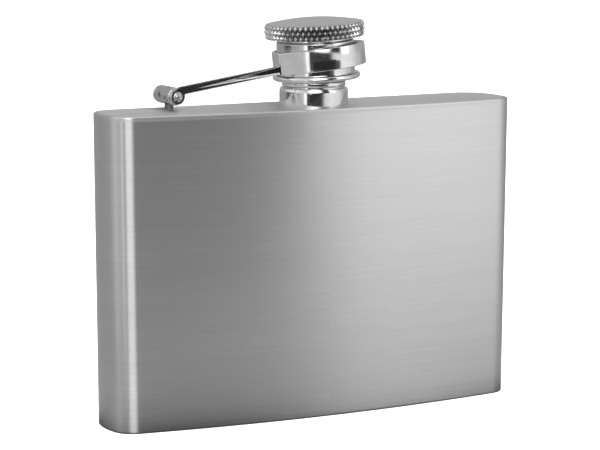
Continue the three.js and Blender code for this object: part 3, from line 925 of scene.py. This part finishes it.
def build_post():
    """Flanged post under the barrel, hollowed at the top to fit it."""
    profile = fillet([
        (0, NECK_FOOT - 0.4), (POST_FLANGE_R, NECK_FOOT - 0.4),
        (POST_FLANGE_R, NECK_FOOT, 0.05), (POST_R, NECK_FOOT), (POST_R, 63.1),
        (POST_R, POST_TOP), (0, POST_TOP)], seg=4)
    post = loose("tmp_post", lathe(profile, 72).shift(PIN_X, POST_Y), [POST_STEEL_PAINTED_DARK])
    cutter = cylinder_y(BARREL_R + 0.01, 8, 96).shift(PIN_X, 0, PIN_Z)
    mesh = boolean("hinge_support_post", post, loose("tmp_cut", cutter, [POST_STEEL_PAINTED_DARK]),
                   "DIFFERENCE")
    register("hinge_support_post", mesh, "flask", "hinge_post", sharp=40)


def hinge_rivet():
    """Pin with a domed, rimmed head in front of the ear and a domed tail at the back."""
    seat = EAR_FRONT - 0.05
    profile = [(0, seat - 0.38)]
    profile += [(0.62 * math.sin(a), seat - 0.20 - 0.18 * math.cos(a))
                for a in np.linspace(0.2, QUARTER, 7)]
    # rim round the head
    profile += [(0.66, seat - 0.17), (0.72, seat - 0.19), (0.84, seat - 0.17),
                (0.94, seat - 0.09), (0.98, seat - 0.01), (0.96, seat)]
    profile += [(TENON_R, seat), (TENON_R, BARREL_Y0 - 0.08),
                (SHANK_R, BARREL_Y0 - 0.06), (SHANK_R, BARREL_Y1 + 0.08),
                (TENON_R, BARREL_Y1 + 0.1), (TENON_R, BARREL_Y1 + 0.6),
                (TAIL_R, BARREL_Y1 + 0.62)]
    profile += [(TAIL_R * math.cos(a), BARREL_Y1 + 0.64 + 0.3 * math.sin(a))
                for a in np.linspace(0.15, QUARTER, 6)[:-1]]
    profile.append((0, BARREL_Y1 + 0.94))
    return lathe(profile, 64, axis="y")


def hinge_washer():
    front, bore = BARREL_Y1 + 0.15, TENON_R + 0.08
    profile = fillet([
        (bore, front, 0.05), (WASHER_R, front, 0.12), (WASHER_R, front + WASHER_T, 0.12),
        (bore, front + WASHER_T, 0.05)], closed=True, seg=5)
    return lathe(profile, 72, closed=True, axis="y")


build("hinge_barrel_tube", hinge_barrel(), [BARREL_STEEL],
      "flask", "hinge_barrel", place=PIN_PLACE)
build_post()
build("hinge_pin_rivet", hinge_rivet(), [BARREL_STEEL],
      "strap_arm", "hinge_rivet", place=PIN_PLACE)
build("hinge_retaining_washer", hinge_washer(), [FITTING_STEEL],
      "strap_arm", "hinge_washer", place=PIN_PLACE)

# =====================================================================
# studio: white to the camera, with dark and bright bands for everything else
# =====================================================================
GAIN = 3.2                                 # keeps the ramps' colours below 1
# Each row of pairs is (degrees to the right of the front, brightness).
BELOW_EYE = [
    (-180, .38), (-139, .40), (-118, .62), (-100, .72), (-84, .66), (-70, .58), (-62, .74),
    (-57.5, 1.35), (-53, 1.2), (-49, .08), (-24, .06), (-6, .06), (2, .08), (14, .08),
    (21, .11), (25, .24), (29, .95), (36, 1.12), (60, .95), (84, .6), (110, .35), (140, .42),
    (180, .38)]
# a thin band at eye level, which is what the upright polished parts mirror
EYE_LEVEL = [
    (-180, .36), (-139, .34), (-128, .16), (-122, .07), (-108, .07), (-100, .36), (-84, .42),
    (-66, .62), (-61, .78), (-57.5, 1.45), (-53, 1.40), (-49, .07), (-24, .05), (-6, .05),
    (1, .15), (6, .55), (11, .82), (19, .92), (30, 1.0), (58, .92), (84, .62), (110, .35),
    (140, .42), (180, .36)]
ABOVE_HORIZON = [
    (-180, .46), (-150, .46), (-118, .86), (-98, 1.05), (-74, .80), (-54, .70), (-42, 1.3),
    (-35, 3.0), (-12, 3.0), (-4, 1.7), (3, .30), (8, .05), (21, .05), (25, .15), (28, .75),
    (31, 1.6), (36, 1.7), (47, 1.7), (55, .95), (84, .50), (120, .44), (150, .46), (180, .46)]
OVERHEAD = 0.95


def ramp(net, turn, stops):
    node = net.node("ValToRGB", {0: turn})
    node.color_ramp.interpolation = "EASE"
    elements = node.color_ramp.elements
    while len(elements) > 1:
        elements.remove(elements[-1])
    for i, (degrees, brightness) in enumerate(stops):
        position = (degrees + 180) / 360
        element = elements[0] if i == 0 else elements.new(position)
        element.position = position
        element.color = (brightness / GAIN,) * 3 + (1,)
    return node.outputs[0]


def build_world():
    world = bpy.data.worlds.new("studio")
    bpy.context.scene.world = world
    world.use_nodes = True
    net = Nodes(world.node_tree)
    direction = net.node("TexCoord").outputs["Generated"]
    east, north, height = net.node("SeparateXYZ", {0: direction}).outputs
    angle = net.math("ARCTAN2", east, net.math("MULTIPLY", north, -1.0))
    turn = net.add(net.math("DIVIDE", angle, TAU), 0.5)
    elevation = net.math("ARCSINE", height)

    def blend(below, above, start, end):
        """Changes from one colour to the other between two elevations in degrees."""
        share = net.remap(elevation, span=(math.radians(start), math.radians(end)),
                          to=(0.0, 1.0), smooth=True)
        return net.mix(below, above, factor=share)

    low, eye, high = [ramp(net, turn, stops) for stops in (BELOW_EYE, EYE_LEVEL, ABOVE_HORIZON)]
    sky = blend(low, eye, start=-8.2, end=-6.6)
    sky = blend(sky, high, start=-2, end=2)
    sky = blend(sky, (OVERHEAD / GAIN,) * 3 + (1,), start=38, end=62)
    surroundings = net.out("Background", {"Color": sky, "Strength": GAIN})
    backdrop = net.out("Background", {"Color": (1, 1, 1, 1), "Strength": 1.0})
    seen = net.node("LightPath").outputs["Is Camera Ray"]
    net.node("OutputWorld", {0: net.out("MixShader", {0: seen, 1: surroundings, 2: backdrop})})


def stage_face(name, corners):
    mesh = bpy.data.meshes.new(name)
    mesh.from_pydata([tuple(c * MM for c in corner) for corner in corners], [],
                     [tuple(range(len(corners)))])
    ob = link_object(name, mesh)
    return ob


def stage_square(name, half, z):
    return stage_face(name, [(-half, -half, z), (half, -half, z), (half, half, z),
                             (-half, half, z)])


def only_reflected(ob):
    for ray in ("camera", "diffuse", "shadow", "transmission"):
        setattr(ob, "visible_" + ray, False)


def build_floor():
    floor = stage_square("floor", 6000, -0.02)
    material, net = new_material("floor_white")
    diffuse = net.out("BsdfDiffuse", {"Color": (0.92, 0.92, 0.92, 1)})
    glow = net.out("Emission", {"Color": (1, 1, 1, 1), "Strength": 0.62})
    net.node("OutputMaterial", {0: net.out("AddShader", {0: diffuse, 1: glow})})
    floor.data.materials.append(material)
    floor.visible_glossy = False


def build_reflected_table():
    """The near table as the steel sees it: a grey glowing card seen only in reflection, with a
    painted contact shadow that darkens it against the flask's foot.
    """
    table = stage_square("table_in_reflection", 130, -0.03)
    material, net = new_material("table_grey")
    position = net.node("NewGeometry").outputs["Position"]
    spots = net.node("SeparateXYZ", {0: position}).outputs

    def beyond(coordinate, half):
        distance = net.math("SUBTRACT", net.math("ABSOLUTE", coordinate), half)
        return net.math("MAXIMUM", distance, 0.0)

    off_x, off_y = beyond(spots[0], 44 * MM), beyond(spots[1], 8 * MM)
    distance = net.math("SQRT", net.add(net.math("MULTIPLY", off_x, off_x),
                                        net.math("MULTIPLY", off_y, off_y)))
    # painted contact shadow: the glow falls from 0.42 to 0.06 towards the flask's footprint
    shade = net.remap(distance, span=(0.0, 15 * MM), to=(0.06, 0.42), smooth=True)
    net.node("OutputMaterial", {0: net.out("Emission", {
        "Color": net.grey(shade), "Strength": 1.0})})
    table.data.materials.append(material)
    only_reflected(table)


# Two narrow black flags in front of the strap's arm, with a thin gap between them along
# the line that the arm mirrors to the camera.
FLAG_Y, FLAG_LEFT, FLAG_RIGHT = -27.7, -21.2, 5.2
LINE_X, LINE_Z, LINE_SLOPE = -17.46, 64.54, (67.77 - 64.54) / 21.85
# name: (x, height above the line) of each corner
FLAGS = {
    "flag_upper": [(FLAG_LEFT, -0.20), (FLAG_RIGHT, -0.20), (FLAG_RIGHT, 2.6),
                   (FLAG_LEFT, 2.6)],
    "flag_lower": [(FLAG_LEFT, -3.2), (FLAG_RIGHT, -2.6), (FLAG_RIGHT, -0.34),
                   (-13.0, -0.20), (FLAG_LEFT, -0.20)]}


def build_flag(name, corners):
    flag = stage_face(name, [(x, FLAG_Y, LINE_Z + (x - LINE_X) * LINE_SLOPE + rise)
                             for x, rise in corners])
    material, net = new_material(name + "_black")
    net.node("OutputMaterial", {0: net.out("Emission", {"Color": (0.03, 0.03, 0.03, 1)})})
    flag.data.materials.append(material)
    only_reflected(flag)


def build_lamp():
    """A large soft light from above and a little in front, in metres and watts."""
    lamp = bpy.data.lights.new("overhead_softbox", "AREA")
    lamp.shape = "RECTANGLE"
    lamp.size = lamp.size_y = 1.2
    lamp.energy = 9.0
    ob = link_object("overhead_softbox", lamp)
    ob.location = (0.1, -0.3, 1.1)
    ob.rotation_euler = (math.radians(15), 0, 0)
    ob.visible_glossy = False
    ob.visible_camera = False


build_world()
build_floor()
build_reflected_table()
for flag_name, flag_corners in FLAGS.items():
    build_flag(flag_name, flag_corners)
build_lamp()

# =====================================================================
# camera: in front of the target, to its left and a little above
# =====================================================================
AZIMUTH, ELEVATION, ROLL = math.radians(28.07), math.radians(8.52), math.radians(0.17)
CAMERA_DISTANCE, CAMERA_TARGET = 508.48, (-3.81, -3.1, 38.75)
SENSOR_WIDTH, FOCAL_LENGTH = 36.0, 150.468


def build_camera():
    back = np.array([-math.sin(AZIMUTH) * math.cos(ELEVATION),
                     -math.cos(AZIMUTH) * math.cos(ELEVATION), math.sin(ELEVATION)])
    level_right = np.array([math.cos(AZIMUTH), -math.sin(AZIMUTH), 0.0])
    level_up = np.cross(back, level_right)
    right = math.cos(ROLL) * level_right + math.sin(ROLL) * level_up
    up = -math.sin(ROLL) * level_right + math.cos(ROLL) * level_up
    location = (np.array(CAMERA_TARGET) + back * CAMERA_DISTANCE) * MM
    camera = bpy.data.cameras.new("camera")
    camera.sensor_fit = "HORIZONTAL"
    camera.sensor_width, camera.lens = SENSOR_WIDTH, FOCAL_LENGTH
    camera.clip_start, camera.clip_end = 0.01, 20.0
    ob = link_object("camera", camera)
    rows = [tuple(row) for row in np.column_stack([right, up, back, location])]
    ob.matrix_world = Matrix(rows + [(0, 0, 0, 1)])
    bpy.context.scene.camera = ob


build_camera()
bpy.context.scene.view_settings.view_transform = "Standard"
bpy.context.scene.view_settings.look = "None"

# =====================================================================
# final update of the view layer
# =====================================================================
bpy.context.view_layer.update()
